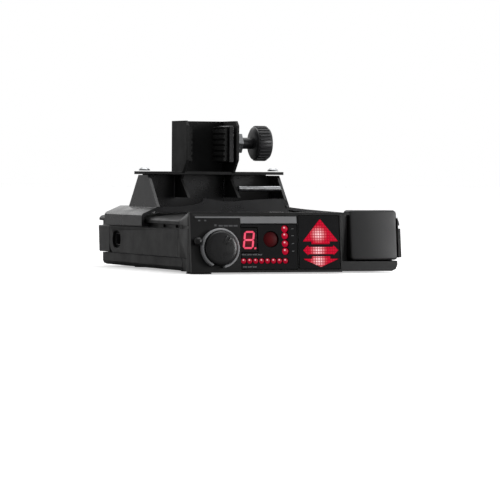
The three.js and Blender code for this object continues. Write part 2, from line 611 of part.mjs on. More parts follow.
function bridge() {
  const { start, slope, foot, end, left, right } = GUSSET;
  const rise = (BRIDGE_Z - foot) * slope;
  const y0 = start + rise - 1.5;
  const y1 = end - rise + 1.5;
  const roof = block(left - 2, right + 2, y0, y1, BRIDGE_Z, BRIDGE_Z + SHEET);
  const cheek = polygon([[76, CHANNEL.low], [60, CHANNEL.low], [69, 36], [62, 44],
    [62, CHANNEL.top - 2], [64, CHANNEL.top], [CHANNEL.web, CHANNEL.top],
    [CHANNEL.web, BRIDGE_Z + 0.6], [76, BRIDGE_Z]]);
  const leftCheek = alongX(cheek, CHANNEL.left, CHANNEL.left + SHEET);
  const rightCheek = alongX(cheek, CHANNEL.right - SHEET, CHANNEL.right);
  const web = block(CHANNEL.left, CHANNEL.right, CHANNEL.web - SHEET, CHANNEL.web, BRIDGE_Z, CHANNEL.top);
  const foldY = NECK_Y + GAP;
  const fold = block(left + SHEET, right - SHEET, foldY, foldY + SHEET, BRIDGE_Z - 2, BRIDGE_Z + 0.3);
  const hole = bar('x', -20, 10, 2.8, 24).translate([0, SCREW_AXIS.y, SCREW_AXIS.z]);
  return cut(join(roof, leftCheek, rightCheek, web, fold), hole);
}

function crossRod() {
  return bar('x', CHANNEL.right + GAP, GUSSET.right - SHEET / 2 - GAP, 1.1, 16).translate([0, 63.5, 32.3]);
}

const JAW = { back: -5.2, thick: 2.0, pad: 1.8 };

function clampJaw() {
  const plate = block(JAW.back - JAW.thick, JAW.back, 63, 78, 43, 58);
  const boss = bar('x', JAW.back - 1, JAW.back, 4, 20).translate([0, SCREW_AXIS.y, SCREW_AXIS.z]);
  return plate.add(boss);
}

// A ribbed rubber pad that faces the mirror stem. side is +1 when its ribs point to +X.
function stemPad(x0, x1, side) {
  const pad = block(x0, x1, 64, 77, 43.5, 57.5);
  const ribs = Array.from({ length: 6 }, (_, i) => {
    const z = 45 + i * 2.3;
    const x = side > 0 ? x1 : x0;
    return block(x - 0.5, x + 0.5, 60, 80, z, z + 0.8);
  });
  return cut(pad, ...ribs);
}

function thumbScrew() {
  const shank = turned([[0, 0.3], [2.2, 0.3], [2.4, 0.8], [2.4, 12], [0, 12]], 20);
  const flutes = 12;
  const head = new THREE.Shape();
  for (let i = 0; i <= flutes * 4; i += 1) {
    const angle = (i / (flutes * 4)) * Math.PI * 2;
    const radius = 7 + 0.35 * Math.cos(angle * flutes);
    if (i === 0) head.moveTo(radius, 0);
    else head.lineTo(radius * Math.cos(angle), radius * Math.sin(angle));
  }
  const grip = alongY(head, 11, 18);
  const body = grip.add(shank).rotate([0, 0, -90]);
  return body.translate([JAW.back, SCREW_AXIS.y, SCREW_AXIS.z]);
}

function screwNut() {
  const hex = Array.from({ length: 6 }, (_, i) => {
    const angle = (i / 6) * Math.PI * 2;
    return [SCREW_AXIS.y + 4.6 * Math.cos(angle), SCREW_AXIS.z + 4.6 * Math.sin(angle)];
  });
  const from = CHANNEL.right + GAP;
  const nut = alongX(polygon(hex), from, from + 3.5);
  return nut.subtract(bar('x', -20, 20, 2.8, 24).translate([0, SCREW_AXIS.y, SCREW_AXIS.z]));
}

// A rubber liner between a clip and its rail.
function clipLiner(side) {
  const inner = CLIP_OUT - SHEET - 0.12;
  const face0 = CASE_HALF - 0.3 + 0.15;
  const strip = block(face0, inner, CLIP.start + 2, CLIP.end - 2, 18.6, 20.4);
  return side > 0 ? strip : strip.mirror([1, 0, 0]);
}

function bridgeScrew(x, y) {
  const head = turnedUp([[0, 0.3], [2.4, 0.3], [2.2, 0.9], [1.4, 1.5], [0, 1.5]], 16);
  return head.translate([x, y, BRIDGE_Z + SHEET]);
}

// ---------------------------------------------------------------- assemble
add('upper_case', upperCase(), looks.casting);
add('lower_case', lowerCase(), looks.casting);
add('rear_frame', rearFrame(), looks.casting);
add('display_bezel', displayBezel(), looks.bezel);
add('rear_radome', rearRadome(), looks.cover);
add('front_radome', frontRadome(), looks.cover);
add('front_foot', frontFoot(), looks.rubber);
add('laser_lens', laserLens(), looks.redGlass);

add('display_window', displayWindow(), looks.window, face);
add('arrow_window', arrowWindow(), looks.window, face);
add('front_arrow_lens', arrowLens(FRONT_ARROW), looks.lens, face);
add('side_arrow_lens', arrowLens(SIDE_ARROW), looks.lens, face);
add('rear_arrow_lens', arrowLens(REAR_ARROW), looks.lens, face);
add('digit_display', digitBlock(0, 0.3, LIGHT_BACK), looks.redGlass, face);
add('photocell', photocell(), looks.redGlass, face);
BAND_Z.forEach((z, i) => {
  add(`band_light_${i + 1}`, led(BAND_RADIUS, 0, LIGHT_BACK).translate([BAND_X, 0, z]), looks.lens, face);
});
add('strength_lights', strengthBar(), looks.lens, face);
add('name_plate', inPlane(trimOutline(-0.05), 0, 0.5), looks.plate, face);
add('control_knob', controlKnob(), looks.knob, face);
add('knob_shaft', aboutKnob(bar('y', KNOB.back + GAP, 6.5, 2.0)), looks.steel, face);
add('push_plunger', aboutKnob(bar('y', 6.8, 9.2, 2.0)), looks.contact, face);
add('lever_ring', leverRing(), looks.knob, face);
add('volume_control', volumeControl(), looks.contact, face);
add('display_board', block(20.4, 61.4, 4.1, 5.5, 3.1, 20.5), looks.inside, face);

add('main_board', mainBoard(), looks.inside);
add('speaker', speaker(), looks.contact);
add('rear_horn', horn(15, 9, 20).rotate([0, 0, 180]).translate([33, 41, 13.3]), looks.steel);
add('front_horn', horn(15, 9, 20).translate([26, 80, 13.3]), looks.steel);
add('power_jack', powerJack(), looks.contact);
add('earphone_jack', earphoneJack(), looks.contact);
CASE_SCREWS.forEach((place, i) => add(`case_screw_${i + 1}`, caseScrew(place), looks.steel));

add('bracket_cradle', cradle(), looks.coated);
add('bracket_bridge', bridge(), looks.coated);
add('cross_rod', crossRod(), looks.steel);
add('clip_liner_left', clipLiner(-1), looks.rubber);
add('clip_liner_right', clipLiner(1), looks.rubber);
add('clamp_jaw', clampJaw(), looks.coated);
const jawFace = JAW.back - JAW.thick - GAP;
const channelFace = CHANNEL.left + SHEET + GAP;
add('jaw_pad', stemPad(jawFace - JAW.pad, jawFace, -1), looks.rubber);
add('channel_pad', stemPad(channelFace, channelFace + JAW.pad, 1), looks.rubber);
add('thumb_screw', thumbScrew(), looks.contact);
add('screw_nut', screwNut(), looks.steel);
[GUSSET.left, GUSSET.right].forEach((x, i) => {
  add(`bridge_screw_${i + 1}`, bridgeScrew(x, BRIDGE_SCREW_Y), looks.steel);
});

export default detector;
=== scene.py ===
# %% [markdown]
# # A radar detector in its mirror bracket
# The detector is a low cast box about 92 mm wide. The driver's end carries a knob, a lit digit, small
# red lamps and three lit arrows behind smoked windows. A bent steel cradle holds the box by grooves
# in its sides, and a stem clamp stands on the cradle. The CAD model gives the place and size of every
# piece. This script gives each piece its rounded edges, its finish and its fine detail.

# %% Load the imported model
import json
import math

import bmesh
import bpy
from mathutils import Matrix, Vector


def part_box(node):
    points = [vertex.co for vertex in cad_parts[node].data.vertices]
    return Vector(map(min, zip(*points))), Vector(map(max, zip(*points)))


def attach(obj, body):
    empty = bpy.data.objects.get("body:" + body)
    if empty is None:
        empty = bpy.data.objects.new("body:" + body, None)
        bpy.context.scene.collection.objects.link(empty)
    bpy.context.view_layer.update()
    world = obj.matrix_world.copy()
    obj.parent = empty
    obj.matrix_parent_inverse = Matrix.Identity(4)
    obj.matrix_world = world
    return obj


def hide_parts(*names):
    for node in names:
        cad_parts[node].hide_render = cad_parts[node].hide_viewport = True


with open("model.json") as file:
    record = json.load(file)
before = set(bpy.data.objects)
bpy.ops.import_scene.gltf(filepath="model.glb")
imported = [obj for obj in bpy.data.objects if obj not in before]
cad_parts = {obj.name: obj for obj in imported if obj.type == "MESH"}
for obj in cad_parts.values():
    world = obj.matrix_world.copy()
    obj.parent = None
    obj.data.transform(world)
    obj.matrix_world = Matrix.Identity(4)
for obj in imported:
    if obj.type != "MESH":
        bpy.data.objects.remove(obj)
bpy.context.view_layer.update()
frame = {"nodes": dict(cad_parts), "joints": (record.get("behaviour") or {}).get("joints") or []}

MM = 0.001
print("CAD nodes:", len(frame["nodes"]))

# %% [markdown]
# ## Camera
# A camera is a matrix: its columns say which way is right, up and backwards. Building it from a view
# direction and a small roll keeps all four numbers readable. A long lens far away keeps the sides of
# the box nearly parallel, as in a product shot.

# %% Camera
AZIMUTH, ELEVATION, ROLL = (math.radians(a) for a in (-21.26, 1.137, 0.359))
DISTANCE = 1.300
STAND_POINT = Vector((0.75, -6.85, 14.6)) * MM
AIM_POINT = Vector((-2.42, -5.76, 8.02)) * MM

sight = Vector((-math.sin(AZIMUTH) * math.cos(ELEVATION),
                math.cos(AZIMUTH) * math.cos(ELEVATION), -math.sin(ELEVATION)))
stand = STAND_POINT - sight * DISTANCE
forward = (AIM_POINT - stand).normalized()
right = forward.cross(Vector((0, 0, 1))).normalized()
up = right.cross(forward)
level_right, level_up = right.copy(), up.copy()
right = level_right * math.cos(ROLL) + level_up * math.sin(ROLL)
up = level_up * math.cos(ROLL) - level_right * math.sin(ROLL)
camera_data = bpy.data.cameras.new("photo_camera")
camera_data.lens = 229.9
camera_data.sensor_width = 36.0
camera_data.clip_end = 20.0
camera = bpy.data.objects.new("photo_camera", camera_data)
turn = Matrix((right, up, -forward)).transposed().to_4x4()
camera.matrix_world = Matrix.Translation(stand) @ turn
bpy.context.scene.collection.objects.link(camera)
bpy.context.scene.camera = camera
print("camera stands at", [round(v, 3) for v in stand])

# %% [markdown]
# ## Colours and nodes
# Paint colours are written as sRGB hex, as on a colour card. Blender's shaders work in linear light,
# so one function turns them over. Others add a node with its settings and links, start a material, and
# blend two colours.

# %% Helpers for colours and nodes
def linear(code):
    values = [int(code[i:i + 2], 16) / 255 for i in (0, 2, 4)]
    values = [v / 12.92 if v <= 0.04045 else ((v + 0.055) / 1.055) ** 2.4 for v in values]
    return (*values, 1.0)


def add_node(tree, kind, settings=None, inputs=None):
    """A new node. settings are its properties; inputs are numbers or sockets to link from."""
    node = tree.nodes.new(kind)
    for name, value in (settings or {}).items():
        setattr(node, name, value)
    for name, value in (inputs or {}).items():
        if isinstance(value, bpy.types.NodeSocket):
            tree.links.new(value, node.inputs[name])
        else:
            node.inputs[name].default_value = value
    return node


def new_material(name, **sockets):
    """A material with its tree and shader. A socket's name is written with _ for each space."""
    material = bpy.data.materials.new(name)
    material.use_nodes = True
    tree = material.node_tree
    shader = tree.nodes["Principled BSDF"]
    for socket, value in sockets.items():
        shader.inputs[socket.replace("_", " ")].default_value = value
    return material, tree, shader


def blend(tree, factor, first, second):
    """A colour that goes from first to second as factor goes from 0 to 1."""
    mixed = add_node(tree, "ShaderNodeMix", {"data_type": "RGBA"})
    tree.links.new(factor, mixed.inputs["Factor"])
    mixed.inputs[6].default_value, mixed.inputs[7].default_value = first, second
    return mixed.outputs[2]


# %% [markdown]
# ## Floor and light
# A plain pale floor and a white room: what the eye sees of a satin black box is mostly the room
# reflected in it. The room is darker behind the camera, which keeps the display face dark, and three
# soft panels lift the top, the right and the back.

# %% Floor, room and lamps
def make_floor():
    size = 6.0
    below = -0.02 * MM
    mesh = bpy.data.meshes.new("floor")
    corners = [(-size, -size), (size, -size), (size, size), (-size, size)]
    mesh.from_pydata([(x, y, below) for x, y in corners], [], [(0, 1, 2, 3)])
    floor = bpy.data.objects.new("floor", mesh)
    bpy.context.scene.collection.objects.link(floor)
    material, tree, shader = new_material(
        "pale_paper", Roughness=0.9, Specular_IOR_Level=0.1, Emission_Color=linear("FFFFFF"))
    # The paper is seen white, but throws back only a little light, as a small sheet would.
    seen = add_node(tree, "ShaderNodeLightPath").outputs["Is Camera Ray"]
    paper = blend(tree, seen, linear("929292"), linear("F6F6F6"))
    tree.links.new(paper, shader.inputs["Base Color"])
    glow = add_node(tree, "ShaderNodeMapRange", inputs={"Value": seen, "To Min": 0.0, "To Max": 0.5})
    tree.links.new(glow.outputs["Result"], shader.inputs["Emission Strength"])
    mesh.materials.append(material)


def make_room():
    world = bpy.data.worlds.new("white_room")
    bpy.context.scene.world = world
    world.use_nodes = True
    tree = world.node_tree
    tree.nodes.clear()
    place = add_node(tree, "ShaderNodeTexCoord")
    along = add_node(tree, "ShaderNodeVectorMath", {"operation": "DOT_PRODUCT"},
                     {0: place.outputs["Generated"], 1: (0.62, 0.55, 0.3)})
    shade = add_node(tree, "ShaderNodeMapRange", {"interpolation_type": "SMOOTHSTEP"},
                     {"Value": along.outputs["Value"], "From Min": 0.1, "From Max": 0.9,
                      "To Min": ROOM_DARK, "To Max": ROOM_LIGHT})
    seen = add_node(tree, "ShaderNodeLightPath")
    strength = add_node(tree, "ShaderNodeMix", {"data_type": "FLOAT"},
                        {"Factor": seen.outputs["Is Camera Ray"], "A": shade.outputs["Result"],
                         "B": 1.0})
    sky = add_node(tree, "ShaderNodeBackground",
                   inputs={"Color": linear("FFFFFF"), "Strength": strength.outputs["Result"]})
    add_node(tree, "ShaderNodeOutputWorld", inputs={"Surface": sky.outputs["Background"]})


def soft_panel(name, place, target, size, brightness):
    """A square area lamp. brightness is what its face shines with, where the room's white is 1."""
    lamp = bpy.data.lights.new(name, "AREA")
    lamp.size = size
    lamp.energy = brightness * math.pi * size * size
    panel = bpy.data.objects.new(name, lamp)
    panel.location = place
    aim = Vector(target) - Vector(place)
    panel.rotation_euler = aim.to_track_quat("-Z", "Y").to_euler()
    bpy.context.scene.collection.objects.link(panel)


ROOM_DARK, ROOM_LIGHT = 0.23, 1.3
make_floor()
make_room()
soft_panel("top_panel", (0.1, 0.25, 1.1), (0, 0, 0), 0.9, 1.7)
soft_panel("right_panel", (0.285, -0.285, 0.09), (0.045, -0.04, 0.012), 0.14, 10.5)
soft_panel("back_panel", (-0.3, 0.9, 0.42), (-0.02, 0, 0.015), 0.24, 2.4)
bpy.context.scene.view_settings.view_transform = "Standard"
print("room and three soft panels are set")

# %% [markdown]
# ## Finishes
# Every finish starts from the real thing: cast light alloy under satin paint, moulded ABS, smoked
# acrylic, red filter plastic, powder-coated steel, zinc-plated screws, rubber. Two noises do most of
# the work. A fine one is the grain you feel, and goes to the bump. A broad one is handling and
# uneven gloss, and goes to the roughness. Both read object coordinates, so they stay on the piece.

# %% One function for a grained finish
FINISHES = {}


def grained(name, colour, roughness, grain, depth, spread=0.08, broad=9.0, tint=0.12, **sockets):
    """A surface whose grain is grain mm wide and depth mm deep, with gloss that varies by spread
    over patches broad mm wide, and colour that varies by tint."""
    material, tree, shader = new_material(name, **sockets)
    place = add_node(tree, "ShaderNodeTexCoord").outputs["Object"]
    fine = add_node(tree, "ShaderNodeTexNoise", inputs={
        "Vector": place, "Scale": 1000 / grain, "Detail": 2.0, "Roughness": 0.55})
    patch = add_node(tree, "ShaderNodeTexNoise", inputs={
        "Vector": place, "Scale": 1000 / broad, "Detail": 5.0, "Roughness": 0.62})
    gloss = add_node(tree, "ShaderNodeMapRange", inputs={
        "Value": patch.outputs["Fac"], "From Min": 0.3, "From Max": 0.7,
        "To Min": roughness - spread, "To Max": roughness + spread})
    tree.links.new(gloss.outputs["Result"], shader.inputs["Roughness"])
    base = linear(colour)
    darker, paler = (tuple(c * k for c in base[:3]) + (1.0,) for k in (1 - tint, 1 + tint))
    mixed = blend(tree, patch.outputs["Fac"], darker, paler)
    tree.links.new(mixed, shader.inputs["Base Color"])
    bump = add_node(tree, "ShaderNodeBump", inputs={
        "Height": fine.outputs["Fac"], "Distance": depth * MM, "Strength": 1.0})
    tree.links.new(bump.outputs["Normal"], shader.inputs["Normal"])
    FINISHES[name] = material
    return material


# %% Painted, moulded and coated finishes
# Satin paint over a blasted casting: an even dark grey with a soft sheen and a fine sandy tooth.
paint = grained("satin_black_paint_on_cast_alloy", "1C1C1D", 0.42, 0.35, 0.012,
                Specular_IOR_Level=0.35)
# Satin ABS: smoother than the paint, and darker because it has little tooth to scatter light.
bezel_abs = grained("satin_black_abs", "0E0E0F", 0.36, 0.22, 0.004, spread=0.05,
                    Specular_IOR_Level=0.4)
# The antenna covers are matt mouldings with a spark-eroded texture.
cover_abs = grained("matt_textured_abs", "2D2D2E", 0.46, 0.4, 0.02, spread=0.06)
# Smoked acrylic: nearly black, with a clear reflection.
smoked = grained("smoked_acrylic", "0E0E10", 0.16, 3.0, 0.002, spread=0.03, IOR=1.49)
# Knob plastic is polished a little by fingers.
knob_abs = grained("finger_polished_abs", "1C1C1D", 0.3, 0.3, 0.0012, spread=0.06, broad=3.0)
# The lever ring is a satin moulding drawn pale grey: the pale colour is painted highlight, for the light
# that its bevel catches.
ring_painted_highlight_abs = grained("pale_satin_abs_painted_highlight", "A6A7A9", 0.34, 0.3, 0.002)
# Powder coat flows a little as it cures and leaves a faint orange peel about a millimetre wide.
powder = grained("satin_powder_coat_on_steel", "202022", 0.3, 0.9, 0.007, spread=0.06,
                 Coat_Weight=0.12, Coat_Roughness=0.25)
# Nitrile rubber is dull and slightly dusty.
rubber = grained("dusty_nitrile_rubber", "1A1A1A", 0.82, 0.3, 0.03, tint=0.3)
nylon = grained("black_nylon", "2A2A2C", 0.4, 0.3, 0.006)
# The clamp's bridge is drawn in a darker, duller black than the powder-coated cradle: painted shade for
# the inside of the neck, which sits in shadow.
bridge_painted_shade_black = grained("matt_black_painted_shade", "101011", 0.7, 0.5, 0.02)
# The name plate is a pale matt foil.
plate = grained("pale_matt_foil", "8E8F91", 0.42, 0.5, 0.004)
print("finishes so far:", len(FINISHES))

# %% [markdown]
# ## Bare metal and the circuit board
# Plated steel shows fine lines from drawing or turning. Stretching a noise along one axis draws them:
# a Mapping node squeezes the coordinates, so each grain becomes a long scratch.

# %% Brushed metal and board
def brushed(name, colour, roughness, stretch, depth):
    """Bare metal with lines about 0.15 mm apart that run along the axis with the small stretch."""
    material, tree, shader = new_material(name, Metallic=1.0, Base_Color=linear(colour))
    place = add_node(tree, "ShaderNodeTexCoord").outputs["Object"]
    along = add_node(tree, "ShaderNodeMapping", inputs={"Vector": place, "Scale": stretch})
    lines = add_node(tree, "ShaderNodeTexNoise", inputs={
        "Vector": along.outputs["Vector"], "Scale": 6600.0, "Detail": 3.0})
    gloss = add_node(tree, "ShaderNodeMapRange", inputs={
        "Value": lines.outputs["Fac"], "From Min": 0.3, "From Max": 0.7,
        "To Min": roughness - 0.08, "To Max": roughness + 0.12})
    tree.links.new(gloss.outputs["Result"], shader.inputs["Roughness"])
    bump = add_node(tree, "ShaderNodeBump", inputs={
        "Height": lines.outputs["Fac"], "Distance": depth * MM})
    tree.links.new(bump.outputs["Normal"], shader.inputs["Normal"])
    FINISHES[name] = material
    return material


zinc = brushed("zinc_plated_steel", "B9BBBD", 0.3, (0.05, 1.0, 1.0), 0.004)
brass = brushed("gold_flashed_brass", "D9B563", 0.25, (0.05, 1.0, 1.0), 0.002)
waveguide = brushed("drawn_alloy_waveguide", "C4C5C7", 0.36, (1.0, 0.05, 1.0), 0.004)


def board_finish():
    """Green solder mask with paler tracks on a 1.27 mm pitch."""
    material = grained("green_solder_mask", "1E4A30", 0.35, 0.6, 0.006)
    tree = material.node_tree
    shader = tree.nodes["Principled BSDF"]
    place = add_node(tree, "ShaderNodeTexCoord").outputs["Object"]
    tracks = add_node(tree, "ShaderNodeTexWave", {"bands_direction": "X"}, {
        "Vector": place, "Scale": 1000 / 1.27 / 6.5, "Distortion": 1.5, "Detail": 0.0})
    edge = add_node(tree, "ShaderNodeMath", {"operation": "GREATER_THAN"},
                    {0: tracks.outputs["Fac"], 1: 0.7})
    colour = blend(tree, edge.outputs[0], linear("1E4A30"), linear("2F6B45"))
    tree.links.new(colour, shader.inputs["Base Color"])
    return material


solder_mask = board_finish()
print("finishes so far:", len(FINISHES))

# %% [markdown]
# ## The display face's own axes
# The face leans back by a few degrees. The knob turns about an axis square to it, so the joint gives
# the lean, and the bezel's box gives the corner to measure from. Detail is drawn flat, with x to the
# right, z up the face and y into the case, and one matrix stands it in place.

# %% Face axes
knob_joint = next(j for j in frame["joints"] if j["name"] == "knob_turn")
into_case = Vector(knob_joint["axis"]).normalized()
up_face = Vector((1, 0, 0)).cross(into_case)
corner = Vector(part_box("display_bezel")[0])
FACE = Matrix.Translation(corner) @ Matrix(
    (Vector((1, 0, 0)), into_case, up_face)).transposed().to_4x4()
TO_FACE = FACE.inverted()


def face_box(node):
    """(lowest, highest) corner of a CAD node measured along the face's own axes, in metres."""
    points = [TO_FACE @ v.co for v in frame["nodes"][node].data.vertices]
    low = Vector(min(p[i] for p in points) for i in range(3))
    high = Vector(max(p[i] for p in points) for i in range(3))
    return low, high


print("face leans back by", round(math.degrees(math.asin(-into_case.z)), 2), "degrees")

# %% [markdown]
# ## Red light
# A lit lens is bright where its lamp sits behind it and deep red further out. The hot spot is a
# falloff from a point: subtract the point, take the length, and map it from full to none. The red
# itself is emission, which the room can't wash out, over red plastic that still takes a reflection.
# The same finish paints a dim red glow, which is painted light, on the digit's filter, the photocell
# and the laser lens, which are no lamps.

# %% Lit red finishes
def lit_lens(name, centre, reach, hot, cool, glow, cell=0.0, core="FFD6D8", body="4E0613",
             grid_middle=None):
    """Red filter plastic that glows from a point: lit from behind for the arrows and the digit, and a
    painted glow on the digit's filter, the photocell and the laser lens, which are no lamps. centre is
    where the glow is brightest, the lamp's place for a lit lens, reach how far its hot spot spreads, in
    metres, and cell the pitch in millimetres of the moulded diffuser squares, which are counted from
    grid_middle."""
    material, tree, shader = new_material(
        name, Roughness=0.45, Specular_IOR_Level=0.08, Base_Color=linear(body))
    place = add_node(tree, "ShaderNodeTexCoord").outputs["Object"]
    offset = add_node(tree, "ShaderNodeVectorMath", {"operation": "SUBTRACT"},
                      {0: place, 1: centre})
    away = add_node(tree, "ShaderNodeVectorMath", {"operation": "LENGTH"},
                    {0: offset.outputs["Vector"]})
    heat = add_node(tree, "ShaderNodeMapRange", {"interpolation_type": "SMOOTHSTEP"}, {
        "Value": away.outputs["Value"], "From Min": 0.0, "From Max": reach,
        "To Min": 1.0, "To Max": 0.0})
    fall, steady = heat.outputs["Result"], None
    if cell:
        half_cell = FACE.to_3x3() @ Vector((cell / 2, 0, cell / 2)) * MM
        level = add_node(tree, "ShaderNodeMapping", {"vector_type": "TEXTURE"}, {
            "Vector": place, "Location": grid_middle + half_cell, "Rotation": FACE.to_euler()})
        scale = 2 * math.pi / (cell * MM)
        waves = []
        parts = add_node(tree, "ShaderNodeSeparateXYZ", inputs={"Vector": level.outputs["Vector"]})
        for axis in ("X", "Z"):
            angle = add_node(tree, "ShaderNodeMath", {"operation": "MULTIPLY"},
                             {0: parts.outputs[axis], 1: scale})
            wave = add_node(tree, "ShaderNodeMath", {"operation": "COSINE"},
                            {0: angle.outputs[0]})
            waves.append(wave.outputs[0])
        grid = add_node(tree, "ShaderNodeMath", {"operation": "MAXIMUM"}, {0: waves[0], 1: waves[1]})
        lines = add_node(tree, "ShaderNodeMapRange", inputs={
            "Value": grid.outputs[0], "From Min": 0.35, "From Max": 0.95,
            "To Min": 1.0, "To Max": 0.1})
        dimmed = add_node(tree, "ShaderNodeMath", {"operation": "MULTIPLY"},
                          {0: fall, 1: lines.outputs["Result"]})
        fall = dimmed.outputs[0]
        steady = add_node(tree, "ShaderNodeMapRange", inputs={
            "Value": lines.outputs["Result"], "To Min": glow * 0.5, "To Max": glow})
    colour = blend(tree, fall, linear(cool), linear(core))
    tree.links.new(colour, shader.inputs["Emission Color"])
    power = add_node(tree, "ShaderNodeMapRange", inputs={
        "Value": fall, "From Min": 0.0, "From Max": 1.0, "To Min": glow, "To Max": hot})
    if steady:
        tree.links.new(steady.outputs["Result"], power.inputs["To Min"])
    tree.links.new(power.outputs["Result"], shader.inputs["Emission Strength"])
    return material


def lamp_domes_finish(name, hot, glow, spot, core="FFD0D8"):
    """Domes that share one mesh. Each dome carries its own place in the attribute dome_place, which
    is 0 at its middle and 1 at its rim, so one finish gives every dome its own hot spot. The hot spot
    sits up and to the left of the dome's front, where a glint would fall: a painted highlight over the
    lamp's own red glow. spot is how far that spreads, in the same measure."""
    material, tree, shader = new_material(
        name, Roughness=0.4, Specular_IOR_Level=0.15, Base_Color=linear("5A0818"))
    own = add_node(tree, "ShaderNodeAttribute", {"attribute_name": "dome_place"})
    # This point, up and to the left of the dome's front, is where the painted glint sits.
    offset = add_node(tree, "ShaderNodeVectorMath", {"operation": "SUBTRACT"},
                      {0: own.outputs["Vector"], 1: (-0.28, -0.88, 0.36)})
    away = add_node(tree, "ShaderNodeVectorMath", {"operation": "LENGTH"},
                    {0: offset.outputs["Vector"]})
    heat = add_node(tree, "ShaderNodeMapRange", {"interpolation_type": "SMOOTHSTEP"}, {
        "Value": away.outputs["Value"], "From Min": 0.1, "From Max": spot,
        "To Min": 1.0, "To Max": 0.0})
    colour = blend(tree, heat.outputs["Result"], linear("C8062E"), linear(core))
    tree.links.new(colour, shader.inputs["Emission Color"])
    power = add_node(tree, "ShaderNodeMapRange", inputs={
        "Value": heat.outputs["Result"], "From Min": 0.0, "From Max": 1.0,
        "To Min": glow, "To Max": hot})
    tree.links.new(power.outputs["Result"], shader.inputs["Emission Strength"])
    return material


def middle_of(node, left=0.0, rise=0.0):
    """The middle of a node on the face, moved left and up the face by these millimetres."""
    low, high = face_box(node)
    point = (low + high) / 2
    point.x -= left * MM
    point.z += rise * MM
    point.y = low.y
    return FACE @ point


ARROW_CELL = 1.05
ARROW_LAMPS = {"front_arrow_lens": (1.0, -1.2), "side_arrow_lens": (1.2, 0.0),
               "rear_arrow_lens": (1.2, 0.4)}
arrow_finish = {
    node: lit_lens("lit_red_diffuser_" + node.split("_")[0], middle_of(node, left, rise),
                   3.9 * MM, 1.1, "DC002E", 0.84, cell=ARROW_CELL, grid_middle=middle_of(node))
    for node, (left, rise) in ARROW_LAMPS.items()}
# Both rows of domes carry the painted glint over their red glow.
dome_finish = lamp_domes_finish("lit_red_lamp_dome_painted_glint", 0.85, 0.62, 0.42)
small_dome_finish = lamp_domes_finish("lit_red_small_dome_painted_glint", 0.85, 0.5, 0.46)
segment_finish = lit_lens("lit_digit_segment", middle_of("digit_display"), 9 * MM, 1.0,
                          "E4103C", 0.85, core="FF6480")
# The filter round the digit is no lamp: the red halo it shows about the digit's middle is painted glow,
# for the digit's light spreading into it.
digit_filter_painted_halo = lit_lens("red_filter_painted_halo", middle_of("digit_display"), 4.6 * MM, 0.3,
                       "1A0103", 0.0, core="C00A24", body="0E0B0D")
glass_shader = digit_filter_painted_halo.node_tree.nodes["Principled BSDF"]
glass_shader.inputs["Roughness"].default_value = 0.18
glass_shader.inputs["Specular IOR Level"].default_value = 0.5
# The photocell and the laser lens are no lamps: their dim red glow, brightest at the photocell's middle,
# is painted light.
red_lens_painted_glow = lit_lens("dark_red_lens_painted_glow", middle_of("photocell"), 3.6 * MM, 0.16,
                      "3A0508", 0.14, core="8A1A1E", body="3A0C10")
print("lit finishes made for", len(arrow_finish), "arrows and the lamps")

# %% [markdown]
# ## Rounded copies of the CAD solids
# A CAD solid comes as loose triangles with razor edges. Real mouldings, castings and bent sheet are
# never sharp, and the thin highlight on a rounded edge is what makes a black object readable. Each
# solid is copied, its doubles merged and its flat areas joined, and a Bevel rounds what is left.

# %% Rounded copy
def new_piece(name, mesh, body, material):
    """A finished piece at the origin, riding on its body."""
    piece = bpy.data.objects.new(name, mesh)
    bpy.context.scene.collection.objects.link(piece)
    mesh.materials.clear()
    mesh.materials.append(material)
    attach(piece, body)
    return piece


def merged_mesh(node, name):
    mesh = bpy.data.meshes.new(name)
    work = bmesh.new()
    work.from_mesh(frame["nodes"][node].data)
    bmesh.ops.remove_doubles(work, verts=work.verts, dist=0.002 * MM)
    bmesh.ops.dissolve_limit(work, angle_limit=math.radians(0.6), use_dissolve_boundaries=False,
                             verts=work.verts, edges=work.edges, delimit=set())
    for polygon in work.faces:
        polygon.smooth = True
    work.to_mesh(mesh)
    work.free()
    return mesh


def rounded(node, body, material, width, segments=2, angle=32):
    """Replaces a CAD node by a copy whose edges are rounded over width mm."""
    name = node + "_finished"
    piece = new_piece(name, merged_mesh(node, name), body, material)
    if width:
        bevel = piece.modifiers.new("rounded_edges", "BEVEL")
        bevel.width = width * MM
        bevel.segments = segments
        bevel.limit_method = "ANGLE"
        bevel.angle_limit = math.radians(angle)
        bevel.use_clamp_overlap = True
        bevel.harden_normals = True
    piece.data.set_sharp_from_angle(angle=math.radians(angle))
    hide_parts(node)
    return piece


# %% Case, covers and board
CASE_PIECES = [
    ("upper_case", "casting", paint, 0.45), ("lower_case", "casting", paint, 0.35),
    ("rear_frame", "casting", paint, 0.42), ("display_bezel", "bezel", bezel_abs, 0.25),
    ("front_radome", "cover", cover_abs, 0.4),
    # The laser lens shares the photocell's painted red glow.
    ("front_foot", "rubber", rubber, 0.15), ("laser_lens", "dark_lens", red_lens_painted_glow, 0.2),
    ("display_window", "window", smoked, 0.06),
    ("arrow_window", "window", smoked, 0.06), ("name_plate", "trim", plate, 0.05),
    ("volume_control", "inner_plastic", nylon, 0.2), ("display_board", "board", solder_mask, 0.05),
    ("main_board", "board", solder_mask, 0.05), ("speaker", "inner_plastic", nylon, 0.2),
    ("rear_horn", "steel", waveguide, 0.2), ("front_horn", "steel", waveguide, 0.2),
    ("power_jack", "inner_plastic", nylon, 0.2), ("earphone_jack", "inner_plastic", nylon, 0.15),
]
for node, slot_name, material, width in CASE_PIECES:
    rounded(node, "case", material, width)
for number in range(1, 5):
    rounded(f"case_screw_{number}", "case", zinc, 0.12)
# The digit's filter carries the painted halo.
rounded("digit_display", "case", digit_filter_painted_halo, 0.05)
